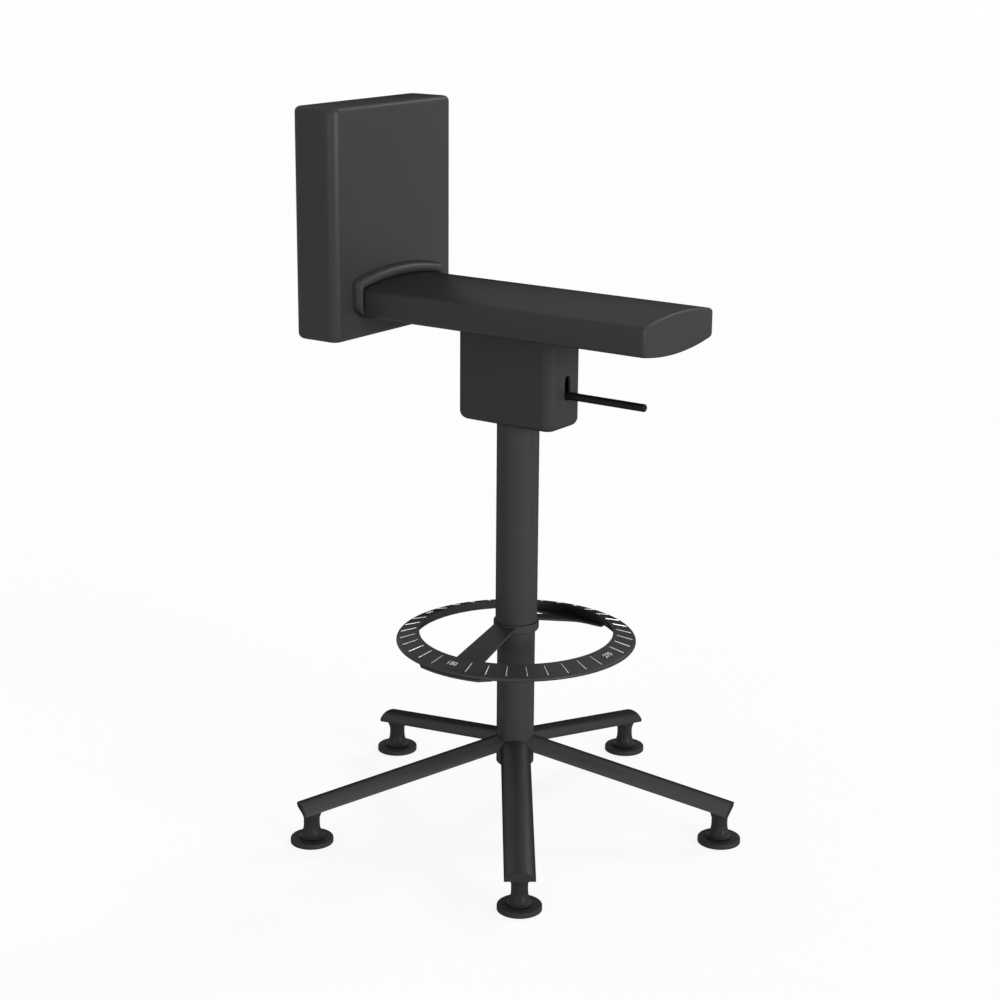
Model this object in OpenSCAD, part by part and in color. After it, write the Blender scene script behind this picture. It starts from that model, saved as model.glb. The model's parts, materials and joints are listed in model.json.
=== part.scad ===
// Swivel chair with a small saddle-like seat and a box-shaped backrest, on a gas-lift column
// with five legs and a graduated foot ring. The seat is drawn at its lowest height.
// The origin is on the floor under the column's axis, +Z is up, the seat's front faces -Y
// and the backrest stands at +Y.

/* [Lower column] */
// Outside diameter of the lower column tube
column_d = 50; // [46:0.5:56]
// Wall of the lower column tube
column_wall = 2.5; // [2:0.1:4]
// Height of the lower column's bottom end above the floor
column_bottom_z = 80; // [74:1:90]
// Height of the lower column's top end above the floor
column_top_z = 520; // [500:1:530]
// Thickness of the plug that closes the column's bottom end
end_plug_h = 4; // [3:0.5:6]
// Chamfer on the plug's lower edge
end_plug_chamfer = 2.5; // [1:0.5:3]
// Length of the plug's spigot inside the column
end_plug_spigot_h = 8; // [6:1:9]

/* [Upper sleeve] */
// Wall of the upper sleeve
sleeve_wall = 2; // [1.5:0.1:3]
// Running gap between the sleeve and the lower column
sleeve_gap = 0.5; // [0.3:0.1:1]
// Length of the upper sleeve
sleeve_h = 268; // [260:1:280]

/* [Gas spring] */
// Outside diameter of the pressure tube
spring_d = 28; // [26:0.5:30]
// Wall of the pressure tube
spring_wall = 2; // [1.5:0.1:3]
// Travel of the gas spring
spring_stroke = 150; // [100:5:150]
// Length of the pressure tube below the housing's floor
spring_drop = 418; // [410:1:430]
// Length of the tapered end above the housing's floor
taper_h = 26; // [20:1:30]
// How much thinner the tapered end is at its top, on the diameter
taper_loss_d = 1.6; // [0.8:0.1:2.4]
// Thickness of the pressure tube's closed top
spring_cap_h = 6; // [4:0.5:8]
// Diameter of the piston rod
rod_d = 10; // [8:0.5:12]
// Height of the rod's lower end above the floor
rod_bottom_z = 91; // [90:0.5:92]
// Height of the piston
piston_h = 14; // [10:1:20]
// Height of the seal at the pressure tube's lower end
seal_h = 12; // [8:1:16]
// Diameter of the release pin
release_pin_d = 6; // [5:0.5:7]
// Length of the release pin
release_pin_h = 26; // [24:1:30]

/* [Column bearings] */
// Thickness of the plate that carries the gas spring in the column
bearing_plate_h = 6; // [4:0.5:8]
// Height of the bearing plate's underside above the floor
bearing_plate_z = 98; // [96:0.5:100]
// Diameter of the thrust bearing
thrust_d = 26; // [22:1:30]
// Height of the thrust bearing
thrust_h = 9; // [7:0.5:10]
// Diameter of the rod's retaining clip
clip_d = 18; // [15:0.5:20]
// Thickness of the retaining clip
clip_h = 1.6; // [1:0.1:2]
// Length of the guide bush at the column's top
bush_h = 80; // [60:1:100]
// Running gap between the pressure tube and the guide bush
bush_gap = 0.3; // [0.2:0.05:0.5]

/* [Legs] */
// Width of a leg
leg_w = 39.3; // [34:0.1:44]
// Height of the upright side of the leg's section
leg_side_h = 3.4; // [2.5:0.1:6]
// Rise of the arched top of the leg's section
leg_arch_h = 10.2; // [8:0.1:14]
// Wall of the leg
leg_wall = 2; // [1.5:0.1:3]
// Distance of the leg's end from the column's axis
leg_reach = 295; // [291:1:300]
// Height above the floor at which the line of the leg's underside meets the column's axis
leg_root_z = 107.3; // [105:0.1:112]
// Fall of the legs below the horizontal, in degrees
leg_fall = 12.4; // [11.5:0.1:13]
// Thickness of the plug's face at the leg's end
leg_plug_h = 2.5; // [2:0.5:4]
// Length of the plug's spigot inside the leg
leg_spigot_h = 8; // [6:1:12]

/* [Glides] */
// Distance of a glide's axis from the end of its leg
glide_inset = 14; // [12:0.5:18]
// Diameter of a glide's sole
glide_d = 56; // [50:0.2:60]
// Thickness of a glide's sole
sole_h = 6.5; // [5:0.5:8]
// Rounding of the sole's upper edge
sole_edge_r = 1.6; // [1:0.1:2]
// Diameter of the bell's rim
bell_rim_d = 34; // [30:0.5:40]
// Height of the bell's rim above the floor
bell_rim_z = 10.4; // [10:0.1:12]
// Diameter of the bell's neck, where it stands on the sole
bell_foot_d = 24; // [20:0.5:28]
// Diameter of the bell's top
bell_top_d = 21; // [19:0.1:23]
// Height of the bell's top above the floor
bell_top_z = 26; // [24:0.5:28]
// Diameter of the socket between the bell and the leg
socket_d = 21; // [19:0.1:23]
// Height of the flare by which the socket widens to the leg
socket_flare_h = 12; // [8:0.5:13]
// How far the flare stands out at the leg
socket_flare_w = 4; // [2:0.5:4]
// Diameter of the glide's stud
stud_d = 10; // [8:0.5:12]
// Length of the stud above the bell
stud_h = 12; // [8:1:14]

/* [Foot ring] */
// Outside diameter of the foot ring
ring_d = 316.4; // [300:0.2:330]
// Radial width of the foot ring
ring_w = 30.5; // [28:0.5:32]
// Height of the ring's inner upper edge above the floor
ring_top_z = 261.9; // [258:0.1:264]
// Height of the ring's section at its inner side
ring_h = 14.3; // [12:0.1:16]
// Fall of the ring's upper face from the inner to the outer edge
ring_fall = 8.2; // [6:0.1:9]
// How far the inner side leans outwards towards its foot
ring_inner_lean = 7.3; // [3:0.1:9]
// How far the outer side leans inwards towards its foot
ring_outer_lean = 9.2; // [6:0.1:11]
// Radius of the ring's round outer edge
ring_edge_r = 2.6; // [2:0.1:3]
// Radial thickness of the ring's hub
hub_wall = 4.9; // [4:0.1:7]
// Height of the ring's hub
hub_h = 12.8; // [12:0.1:20]
// Rounding of the hub's lower edge
hub_edge_r = 3.8; // [2:0.1:3.9]
// Height of the hub's top above the ring's inner upper edge
hub_rise = 15.8; // [12:0.1:20]
// Thickness of the two arms
arm_t = 3; // [2:0.5:5]
// How far an arm's top lies under the hub's top
arm_hub_fall = 3.2; // [1:0.2:5]
// Width of an arm at the hub
arm_hub_w = 33; // [30:0.5:38]
// Width of an arm where it meets its end plate
arm_ring_w = 41; // [36:0.5:46]
// Length of an arm's end plate along the ring
arm_plate_l = 114; // [100:1:124]
// Cut of the end plate's outer corners
arm_plate_corner = 8; // [4:0.5:12]
// How far the end plate reaches inside the ring
arm_plate_in = 8; // [4:0.5:12]
// Fillet between an arm and its end plate
arm_fillet_r = 12; // [6:0.5:16]
// Diameter of the set screws in the hub
set_screw_d = 6; // [5:0.5:8]
// Diameter of the screws between the end plates and the ring
ring_screw_d = 5; // [4:0.5:6]
// Depth of these screws in the ring
ring_screw_depth = 6; // [4:0.5:7]

/* [Graduations] */
// Angle between two graduations, in degrees
rib_step = 10; // [10, 15, 30]
// Width of a graduation's rib
rib_w = 2.2; // [1.6:0.1:3]
// Height of the ribs above the ring
rib_h = 1; // [0.6:0.1:1.6]
// Length of a rib
rib_l = 20; // [16:0.5:22]
// Distance of a rib from the ring's inner edge
rib_inset = 2.5; // [1.5:0.1:4]
// Diameter of the rib's round outer end
rib_end_d = 3.4; // [2.4:0.1:4]

/* [Mechanism housing] */
// Width of the housing
housing_w = 72.4; // [68:0.2:80]
// Length of the housing from front to back
housing_l = 149; // [144:0.2:160]
// Height of the housing
housing_h = 119.5; // [110:0.5:126]
// Radius of the housing's upright edges
housing_corner_r = 16.5; // [12:0.5:18]
// Rounding of the housing's lower edge
housing_edge_r = 11; // [6:0.5:12]
// Wall of the housing
housing_wall = 3; // [2:0.5:4]
// Wall of the socket that holds the gas spring
taper_socket_wall = 6; // [4:0.5:8]
// Diameter of the screw bosses in the housing's corners
boss_d = 14; // [12:0.5:16]
// Diameter of the screws between the housing and the seat plate
housing_screw_d = 6.6; // [5:0.2:8]
// Length of these screws
housing_screw_h = 34; // [24:1:40]

/* [Height lever] */
// Diameter of the lever
lever_d = 10; // [8:0.5:10.5]
// Distance of the lever's tip from the column's axis
lever_reach = 189.5; // [170:0.5:210]
// Length of the lever behind the column's axis
lever_tail = 6; // [4:0.5:8]
// Chamfer on the lever's tip
lever_chamfer = 1.3; // [0.5:0.1:2]
// Height of the lever's axis above the housing's underside
lever_rise = 44.2; // [43:0.1:50]
// Width of the lever's slot in the housing
slot_w = 12.5; // [11.5:0.1:14]
// Height of the slot
slot_h = 31.5; // [28:0.5:36]
// Height of the slot's lower end above the housing's underside
slot_rise = 38; // [36:0.5:39]
// Distance of the lever's pivot from the column's axis
pivot_reach = 38; // [34:0.5:42]
// Diameter of the lever's pivot pin
pivot_d = 5; // [4:0.5:5]
// Thickness of the bracket's cheeks
bracket_t = 2.5; // [2:0.5:4]
// Length of the bracket from front to back
bracket_l = 24; // [20:1:26]
// Gap between the lever and each cheek
cheek_gap = 1; // [0.5:0.1:2]

/* [Seat] */
// Width of the seat pad
seat_w = 164; // [150:1:180]
// Distance of the seat's front from the column's axis
seat_front = 235; // [220:1:250]
// Thickness of the seat pad along its middle
seat_t = 52.1; // [46:0.1:60]
// How far the seat pad reaches below the housing's top along its middle
seat_skirt = 1.6; // [0.8:0.1:2.4]
// Radius of the seat's corners in plan
seat_corner_r = 6.5; // [6.5:0.5:16]
// Radius of the crown across the seat's top
seat_crown_r = 420; // [300:5:600]
// Radius of the crown across the seat's underside
seat_belly_r = 410; // [300:5:600]
// Rounding of the seat's upper edge
seat_edge_r = 5; // [3:0.5:6]
// Rounding of the seat's lower edge
seat_lower_edge_r = 6; // [2:0.5:6]

/* [Seat frame] */
// Thickness of the seat plate
plate_t = 5; // [4:0.5:6]
// Width of the seat plate
plate_w = 100; // [90:1:110]
// Length of the seat plate from front to back
plate_l = 220; // [200:2:240]
// Thickness of the bent flat bar that joins the seat to the backrest
bar_t = 6; // [5:0.5:8]
// Width of the flat bar
bar_w = 60; // [50:1:70]
// Height of the flat bar's upright limb
bar_rise = 200; // [160:5:230]
// Outer radius of the flat bar's bend
bar_bend_r = 12; // [10:0.5:16]
// Diameter of the screws between the plate and the flat bar
bar_screw_d = 6; // [5:0.5:8]
// Distance of these screws from the column's axis, front and back
bar_screw_y = 92; // [88:1:98]
// Distance of these screws from the chair's middle plane
bar_screw_x = 19; // [16:0.5:21]

/* [Backrest] */
// Width of the backrest
back_w = 250.4; // [240:0.2:280]
// Thickness of the backrest
back_t = 70.6; // [60:0.2:80]
// Height of the backrest
back_h = 297.4; // [280:0.2:330]
// Distance of the backrest's front face from the column's axis
back_y = 196.6; // [190:0.1:210]
// How far the backrest reaches below the middle of the seat's underside
back_drop = 22.2; // [14:0.1:30]
// Radius of the backrest's upright edges
back_corner_r = 14; // [8:0.5:20]
// Rounding of the backrest's upper and lower edges
back_edge_r = 8; // [3:0.5:10]
// How far the collar round the seat stands out of the backrest
collar_depth = 13; // [8:0.5:16]
// Width of the collar beside the seat
collar_side_w = 9; // [8:0.5:20]
// Width of the collar above the seat
collar_top_w = 14.5; // [8:0.5:16]
// Radius of the collar's upper corners
collar_corner_r = 17; // [12:0.5:22]

/* [Hidden] */
$fn = 64;

// Clearances and small shared values
cut = 0.5;
seam = 0.3;
weld_gap = 0.05;
running_gap = 0.3;
press_gap = 0.1;
leg_count = 5;
leg_angle = 360 / leg_count;

// Heights of the column's stack, from the floor up
hub_top_z = ring_top_z + hub_rise;
hub_bottom_z = hub_top_z - hub_h;
sleeve_bottom_z = hub_top_z + seam;
housing_z = sleeve_bottom_z + sleeve_h;
housing_top_z = housing_z + housing_h;
floor_z = housing_z + housing_wall;

// Radii of the column's tubes
column_r = column_d / 2;
column_bore_r = column_r - column_wall;
sleeve_bore_r = column_r + sleeve_gap;
sleeve_r = sleeve_bore_r + sleeve_wall;
hub_r = column_r + hub_wall;

// Gas spring
spring_r = spring_d / 2;
spring_bore_r = spring_r - spring_wall;
spring_bottom_z = floor_z - spring_drop;
spring_top_z = floor_z + taper_h;
spring_top_r = spring_r - taper_loss_d / 2;
rod_r = rod_d / 2;
bearing_top_z = bearing_plate_z + bearing_plate_h;
piston_z = spring_bottom_z + seal_h + spring_stroke + piston_h;
release_r = release_pin_d / 2;

// Height lever
lever_r = lever_d / 2;
lever_z = housing_z + lever_rise;
release_top_z = lever_z - lever_r - seam;
pivot_r = pivot_d / 2;
cheek_x = lever_r + cheek_gap;
bracket_w = 2 * (cheek_x + bracket_t);
bracket_foot_w = bracket_w + bracket_l / 2;
bracket_top_z = lever_z + lever_r;
pin_head_r = pivot_r + bracket_t / 2;
pin_head_h = bracket_t / 2;

// Legs
leg_half_w = leg_w / 2;
leg_arch_r = (leg_half_w * leg_half_w + leg_arch_h * leg_arch_h) / (2 * leg_arch_h);
leg_h = leg_side_h + leg_arch_h;
leg_l = leg_reach / cos(leg_fall);
leg_tube_l = leg_l - leg_plug_h;

// Glides
glide_x = leg_reach - glide_inset;
glide_r = glide_d / 2;
stud_r = stud_d / 2;
stud_top_z = bell_top_z + stud_h;
socket_r = socket_d / 2;
socket_z = bell_top_z + seam;
leg_under_z = leg_root_z - glide_x * tan(leg_fall);
flare_z = leg_under_z - socket_flare_h;
flare_over_share = 1.5;

// Foot ring
ring_r = ring_d / 2;
ring_bore_r = ring_r - ring_w;
ring_slope = atan(ring_fall / ring_w);
ring_bottom_z = ring_top_z - ring_h;
arm_top_z = ring_bottom_z - weld_gap;
arm_plate_x = ring_bore_r - arm_plate_in;
arm_clip_r = ring_r - ring_outer_lean / 4;
plate_cut_x = sqrt(arm_clip_r * arm_clip_r - arm_plate_l * arm_plate_l / 4) - arm_plate_corner;
arm_slope = (hub_top_z - arm_hub_fall - arm_top_z) / (arm_plate_x - hub_r);
ring_screw_x = ring_bore_r + ring_w / 3;
ring_screw_y = arm_plate_l * 0.36;
set_screw_turns = [60, 120];

// Graduations, left out where the four numbers stand
rib_turns = [for (turn = [0 : rib_step : 359]) if (turn % 90 != 0) turn];

// Seat frame
plate_z = housing_top_z;
bar_z = plate_z + plate_t;
bar_top_z = bar_z + bar_rise;
bar_y = back_y + back_t / 2;
bar_front_y = -plate_l / 2 + bar_w / 4;
bar_inner_r = bar_bend_r - bar_t;
bar_screw_r = bar_screw_d / 2;
bar_screw_head_r = bar_screw_d * 0.9;
bar_screw_head_h = bar_screw_d * 0.55;
housing_screw_r = housing_screw_d / 2;
housing_screw_head_r = housing_screw_d * 0.95;
boss_r = boss_d / 2;
boss_x = housing_w / 2 - housing_wall - boss_r;
boss_y = housing_l / 2 - housing_wall - boss_r;
boss_z = floor_z + housing_edge_r;

// Pads
seat_bottom_z = housing_top_z - seat_skirt;
seat_crest_z = seat_bottom_z + seat_t;
seat_back_y = back_y - seam;
back_bottom_z = seat_bottom_z - back_drop;
back_top_z = back_bottom_z + back_h;
collar_root = collar_depth / 2;
collar_tip_share = 0.25;
corner_steps = 5;
edge_steps = 4;
ring_edge_steps = 8;
crown_steps = 14;
collar_steps = 5;

// Node names, in the order in which the chair is put together

// Shared shapes

// Tube or ring from height z, with outer radius r and bore radius b
module tube(z, h, r, b) {
    translate([0, 0, z])
        difference() {
            cylinder(h = h, r = r);
            translate([0, 0, -cut]) cylinder(h = h + 2 * cut, r = b);
        }
}

// Post with a rounded lower edge
module round_post(r, h, edge) {
    rotate_extrude() {
        translate([0, edge]) square([r, h - edge]);
        square([r - edge, h]);
        intersection() {
            translate([r - edge, edge]) circle(edge);
            square([r, h]);
        }
    }
}

// Upright section of a block with two rounded lower corners
module trough_section(w, h, edge) {
    translate([-w / 2, edge]) square([w, h - edge]);
    translate([-w / 2 + edge, 0]) square([w - 2 * edge, h]);
    for (side = [-1, 1])
        translate([side * (w / 2 - edge), edge]) circle(edge);
}

// Block with round upright edges and a rounded lower edge
module soft_block(w, l, h, r, edge) {
    for (x = [-1, 1], y = [-1, 1])
        translate([x * (w / 2 - r), y * (l / 2 - r), 0]) round_post(r, h, edge);
    translate([0, l / 2 - r, 0])
        rotate([90, 0, 0]) linear_extrude(l - 2 * r) trough_section(w, h, edge);
    translate([-w / 2 + r, 0, 0])
        rotate([90, 0, 90]) linear_extrude(w - 2 * r) trough_section(l, h, edge);
}

// Closed surface through rings of points, where each ring has the same even number of points.
// The ends are closed by strips between the ring's two halves.
module loft(rings) {
    n = len(rings[0]);
    last = (len(rings) - 1) * n;
    sides = [
        for (j = [0 : len(rings) - 2], i = [0 : n - 1])
            let (k = (i + 1) % n, a = j * n, b = a + n)
                each [[a + i, b + i, b + k], [a + i, b + k, a + k]]
    ];
    caps = [
        for (i = [0 : n / 2 - 2])
            let (k = n - 1 - i)
                each [
                    [i, i + 1, k - 1], [i, k - 1, k],
                    [last + i, last + k - 1, last + i + 1], [last + i, last + k, last + k - 1]
                ]
    ];
    polyhedron(points = [for (ring = rings) each ring], faces = concat(sides, caps), convexity = 6);
}

function reverse(list) = [for (i = [len(list) - 1 : -1 : 0]) list[i]];

// Points of a quarter circle in plan, from angle a on
function corner(x, y, r, a) = [
    for (i = [0 : corner_steps])
        let (t = a + 90 * i / corner_steps)
            [x + r * cos(t), y + r * sin(t)]
];

// Plan outline of a pad, drawn in by inset: its front edge from left to right and back again
// along its rear edge, with the same places across the width on both
function pad_outline(w, y0, y1, r, inset) =
    let (
        hx = w / 2 - inset,
        rc = r - inset,
        front = concat(
            corner(-hx + rc, y0 + inset + rc, rc, 180),
            [for (i = [1 : crown_steps - 1]) [(hx - rc) * (2 * i / crown_steps - 1), y0 + inset]],
            corner(hx - rc, y0 + inset + rc, rc, 270)
        )
    )
        concat(front, reverse([for (p = front) [p[0], y0 + y1 - p[1]]]));

// Drop of a crown of radius r at distance x from its middle, and none where r is zero
function crown_drop(x, r) = r == 0 ? 0 : r - sqrt(r * r - x * x);

// Rings of a pad between two crowned faces with rounded edges
function pad_rings(w, y0, y1, r, z0, z1, belly_r, crown_r, edge0, edge1) = concat(
    [
        for (i = [0 : edge_steps])
            let (t = 90 * i / edge_steps)
                [
                    for (p = pad_outline(w, y0, y1, r, edge0 * (1 - sin(t))))
                        [p[0], p[1], z0 + crown_drop(p[0], belly_r) + edge0 * (1 - cos(t))]
                ]
    ],
    [
        for (i = [0 : edge_steps])
            let (t = 90 * i / edge_steps)
                [
                    for (p = pad_outline(w, y0, y1, r, edge1 * (1 - cos(t))))
                        [p[0], p[1], z1 - crown_drop(p[0], crown_r) - edge1 * (1 - sin(t))]
                ]
    ]
);

// Outline round the seat's section at a distance of side_w beside it and top_w above it,
// from the lower left end over the top to the lower right end
function seat_wrap(side_w, top_w, corner_r) =
    let (
        hx = seat_w / 2 + side_w,
        rise = seat_crest_z + top_w,
        flat_x = hx - corner_r,
        corner_z = rise - crown_drop(flat_x, seat_crown_r) - corner_r,
        right = concat(
            [
                for (i = [1 : crown_steps / 2])
                    let (x = flat_x * 2 * i / crown_steps)
                        [x, rise - crown_drop(x, seat_crown_r)]
            ],
            [
                for (i = [1 : collar_steps])
                    let (t = 90 * (1 - i / collar_steps))
                        [flat_x + corner_r * cos(t), corner_z + corner_r * sin(t)]
            ],
            [[hx, seat_bottom_z + seat_lower_edge_r]]
        )
    )
        concat(reverse([for (p = right) [-p[0], p[1]]]), [[0, rise]], right);

// Rings of the collar, each across its width at one place round the seat. The collar's outer
// side swings from the backrest's face into the seat's direction.
function collar_rings() =
    let (
        inner = seat_wrap(seam, seam, seat_edge_r),
        outer = seat_wrap(collar_side_w, collar_top_w, collar_corner_r),
        swing = [
            for (i = [0 : collar_steps])
                let (t = 90 * i / collar_steps)
                    [1 - (1 - collar_tip_share) * sin(t), -collar_depth * (1 - cos(t))]
        ],
        steps = concat([[1, collar_root]], swing)
    )
        [
            for (k = [0 : len(inner) - 1])
                concat(
                    [
                        for (s = steps)
                            let (p = inner[k] + (outer[k] - inner[k]) * s[0])
                                [p[0], back_y + s[1], p[1]]
                    ],
                    [for (s = reverse(steps)) [inner[k][0], back_y + s[1], inner[k][1]]]
                )
        ];

// Column and its bearings

module lower_column() {
    color("#3d3d3d") tube(column_bottom_z, column_top_z - column_bottom_z, column_r, column_bore_r);
}

module column_end_plug() {
    color("#2a2a2a")
        difference() {
            union() {
                translate([0, 0, column_bottom_z - end_plug_h])
                    cylinder(h = end_plug_chamfer, r1 = column_r - end_plug_chamfer, r2 = column_r);
                translate([0, 0, column_bottom_z - end_plug_h + end_plug_chamfer])
                    cylinder(h = end_plug_h - end_plug_chamfer, r = column_r);
                translate([0, 0, column_bottom_z])
                    cylinder(h = end_plug_spigot_h, r = column_bore_r - press_gap);
            }
            translate([0, 0, column_bottom_z])
                cylinder(h = end_plug_spigot_h + cut, r = column_bore_r - column_wall);
        }
}

module bearing_plate() {
    color("#8a8d8f")
        tube(bearing_plate_z, bearing_plate_h, column_bore_r - press_gap, rod_r + running_gap);
}

module guide_bush() {
    color("#1c1c1c")
        tube(column_top_z - bush_h, bush_h, column_bore_r - press_gap, spring_r + bush_gap);
}

module piston_rod() {
    color("#c8cacc")
        translate([0, 0, rod_bottom_z]) cylinder(h = piston_z - rod_bottom_z, r = rod_r);
}

module piston() {
    color("#55585a")
        tube(piston_z - piston_h, piston_h, spring_bore_r - running_gap, rod_r + weld_gap);
}

// Two races with a ring of balls between them, on the bearing plate
module thrust_bearing() {
    race_h = thrust_h / 3;
    ball_r = race_h / 2;
    ball_circle_r = (thrust_d / 2 + rod_r) / 2;
    color("#9a9da0") {
        for (z = [seam, thrust_h - race_h])
            tube(bearing_top_z + z, race_h, thrust_d / 2, rod_r + press_gap);
        translate([0, 0, bearing_top_z + thrust_h / 2 + seam / 2])
            rotate_extrude() translate([ball_circle_r, 0]) circle(ball_r);
    }
}

module rod_clip() {
    color("#707375")
        tube(bearing_plate_z - seam - clip_h, clip_h, clip_d / 2, rod_r + weld_gap);
}

module pressure_tube() {
    color("#17181a")
        difference() {
            union() {
                translate([0, 0, spring_bottom_z])
                    cylinder(h = floor_z - spring_bottom_z, r = spring_r);
                translate([0, 0, floor_z]) cylinder(h = taper_h, r1 = spring_r, r2 = spring_top_r);
            }
            translate([0, 0, spring_bottom_z - cut])
                cylinder(h = spring_top_z - spring_bottom_z - spring_cap_h + cut, r = spring_bore_r);
            translate([0, 0, spring_bottom_z])
                cylinder(h = spring_top_z - spring_bottom_z + cut, r = release_r + running_gap);
        }
}

module rod_seal() {
    color("#222222") tube(spring_bottom_z, seal_h, spring_bore_r - press_gap, rod_r + running_gap);
}

module release_pin() {
    color("#b5b8ba")
        translate([0, 0, release_top_z - release_pin_h]) cylinder(h = release_pin_h, r = release_r);
}

module upper_sleeve() {
    color("#3d3d3d") tube(sleeve_bottom_z, sleeve_h, sleeve_r, sleeve_bore_r);
}

// Legs

// Outer section of a leg, drawn in by inset
module leg_section(inset) {
    intersection() {
        translate([0, leg_h - leg_arch_r]) circle(leg_arch_r - inset);
        translate([-leg_half_w + inset, inset]) square([leg_w - 2 * inset, leg_h - 2 * inset]);
    }
}

// Places a shape drawn along X from the column's axis onto leg number i
module on_leg(i) {
    rotate([0, 0, leg_angle * i])
        translate([0, 0, leg_root_z])
            rotate([0, leg_fall, 0]) children();
}

module leg_run(x0, x1, inset) {
    translate([x0, 0, 0])
        rotate([90, 0, 90]) linear_extrude(x1 - x0) leg_section(inset);
}

// Wedge between the middles of the gaps to the two neighbouring legs
module leg_share(i) {
    side = leg_reach / cos(leg_angle / 2) + leg_w;
    rotate([0, 0, leg_angle * i])
        linear_extrude(leg_root_z + leg_w)
            polygon([
                [0, 0],
                [side * cos(leg_angle / 2), -side * sin(leg_angle / 2)],
                [side * cos(leg_angle / 2), side * sin(leg_angle / 2)]
            ]);
}

module leg(i) {
    color("#3a3c3d")
        difference() {
            intersection() {
                on_leg(i)
                    difference() {
                        leg_run(0, leg_tube_l, 0);
                        leg_run(-leg_wall, leg_tube_l + cut, leg_wall);
                    }
                leg_share(i);
            }
            cylinder(h = leg_root_z + leg_w, r = column_r + weld_gap);
        }
}

module leg_plug(i) {
    color("#222324")
        on_leg(i) {
            leg_run(leg_tube_l, leg_l, 0);
            leg_run(leg_tube_l - leg_spigot_h, leg_tube_l, leg_wall + press_gap);
        }
}

// Glides

module on_glide(i) {
    rotate([0, 0, leg_angle * i]) translate([glide_x, 0, 0]) children();
}

module glide_socket(i) {
    color("#2c2e2e")
        difference() {
            on_glide(i) {
                translate([0, 0, socket_z]) cylinder(h = leg_under_z + socket_r - socket_z, r = socket_r);
                translate([0, 0, flare_z])
                    cylinder(
                        h = flare_over_share * socket_flare_h,
                        r1 = socket_r, r2 = socket_r + flare_over_share * socket_flare_w
                    );
            }
            on_leg(i)
                translate([glide_x - glide_r, -leg_w, -weld_gap])
                    cube([2 * glide_r, 2 * leg_w, 2 * leg_w]);
            on_glide(i)
                translate([0, 0, socket_z - cut])
                    cylinder(h = stud_top_z - socket_z + 2 * cut, r = stud_r + running_gap);
        }
}

// Flared bell with its stud, hollow towards the sole
module glide_bell(i) {
    flare_steps = 8;
    flare = [
        for (k = [0 : flare_steps])
            let (t = 90 * k / flare_steps)
                [
                    bell_rim_d / 2 - (bell_rim_d - bell_top_d) / 2 * sin(t),
                    bell_top_z - (bell_top_z - bell_rim_z) * cos(t)
                ]
    ];
    color("#2c2e2e")
        on_glide(i) {
            rotate_extrude()
                polygon(concat(
                    [[0, sole_h + weld_gap], [bell_foot_d / 2, sole_h + weld_gap]],
                    [[bell_rim_d / 2, bell_rim_z - sole_edge_r]],
                    flare,
                    [[0, bell_top_z]]
                ));
            translate([0, 0, bell_rim_z]) cylinder(h = stud_top_z - bell_rim_z, r = stud_r);
        }
}

module glide_sole(i) {
    color("#242526")
        on_glide(i)
            rotate_extrude() {
                square([glide_r - sole_edge_r, sole_h]);
                square([glide_r, sole_h - sole_edge_r]);
                translate([glide_r - sole_edge_r, sole_h - sole_edge_r]) circle(sole_edge_r);
            }
}

// Foot ring

// Section of the ring, with a falling upper face, leaning sides and a round outer edge
module ring_section() {
    edge = [ring_r - ring_edge_r, ring_top_z - ring_fall - ring_edge_r];
    crown = [ring_bore_r, ring_top_z];
    foot = [ring_r - ring_outer_lean, ring_bottom_z];
    upper_turn = touch_turn(crown, edge, ring_edge_r, 1);
    lower_turn = touch_turn(foot, edge, ring_edge_r, -1);
    polygon(concat(
        [crown],
        [
            for (i = [0 : ring_edge_steps])
                let (t = upper_turn + (lower_turn - upper_turn) * i / ring_edge_steps)
                    [edge[0] + ring_edge_r * cos(t), edge[1] + ring_edge_r * sin(t)]
        ],
        [foot, [ring_bore_r + ring_inner_lean, ring_bottom_z]]
    ));
}

// Direction, seen from a circle's middle c, of the point where a line from p touches the
// circle: on the line's left for side 1, on its right for side -1
function touch_turn(p, c, r, side) =
    atan2(c[1] - p[1], c[0] - p[0]) + side * (90 + asin(r / norm(c - p)));

module foot_ring() {
    color("#343638")
        difference() {
            rotate_extrude($fn = 180) ring_section();
            ring_screw_runs(ring_screw_d / 2 + press_gap, press_gap);
        }
}

module ring_ribs() {
    color("#d8dadc")
        for (turn = rib_turns)
            rotate([0, 0, turn])
                translate([ring_bore_r, 0, ring_top_z])
                    rotate([0, ring_slope, 0])
                        translate([rib_inset, 0, weld_gap]) {
                            translate([0, -rib_w / 2, 0]) cube([rib_l, rib_w, rib_h]);
                            translate([rib_l, 0, 0]) cylinder(h = rib_h, d = rib_end_d);
                        }
}

module ring_hub() {
    color("#2e3032")
        difference() {
            translate([0, 0, hub_bottom_z]) round_post(hub_r, hub_h, hub_edge_r);
            translate([0, 0, hub_bottom_z - cut])
                cylinder(h = hub_h + 2 * cut, r = column_r + weld_gap);
            set_screw_runs(set_screw_d / 2 + weld_gap, cut);
        }
}

// Arm along +X: a flat bar that falls from the hub to a flat end plate under the ring
module ring_arm() {
    color("#343638")
        difference() {
            intersection() {
                translate([0, 0, arm_top_z - 2 * arm_t])
                    linear_extrude(hub_top_z - arm_top_z + 4 * arm_t) arm_outline();
                translate([0, arm_plate_l / 2, 0])
                    rotate([90, 0, 0]) linear_extrude(arm_plate_l) arm_profile();
            }
            cylinder(h = hub_top_z + arm_t, r = hub_r + weld_gap);
            ring_screw_runs(ring_screw_d / 2 + press_gap, cut);
        }
}

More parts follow.
